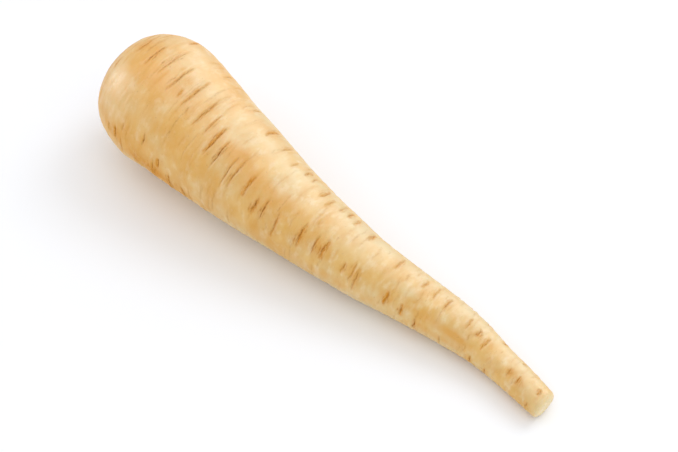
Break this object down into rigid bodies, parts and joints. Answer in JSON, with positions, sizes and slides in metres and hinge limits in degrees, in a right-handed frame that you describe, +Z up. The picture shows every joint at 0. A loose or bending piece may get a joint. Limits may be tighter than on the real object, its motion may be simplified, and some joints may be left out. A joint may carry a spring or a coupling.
{
  "type": "parsnip",
  "caption": "Tapering parsnip root lying on its side, its thin tip cut off, with the brown stump of trimmed leaf stalks seated in the hollow of its crown.",
  "frame": {"origin": "on the surface it lies on, under the middle of its bounding box", "axes": "+X along the root from the crown to the cut tip, +Z up from the surface it lies on, +Y level across it"},
  "size_m": [0.235, 0.0556, 0.0559],
  "materials": {
    "skin": "fresh root skin, cream to tan, satin",
    "leaf_stalk": "dry corky brown leaf-stalk stubs, matt"
  },
  "bodies": {
    "root": {"root": "skin", "leaf_bases": "leaf_stalk"}
  },
  "joints": []
}
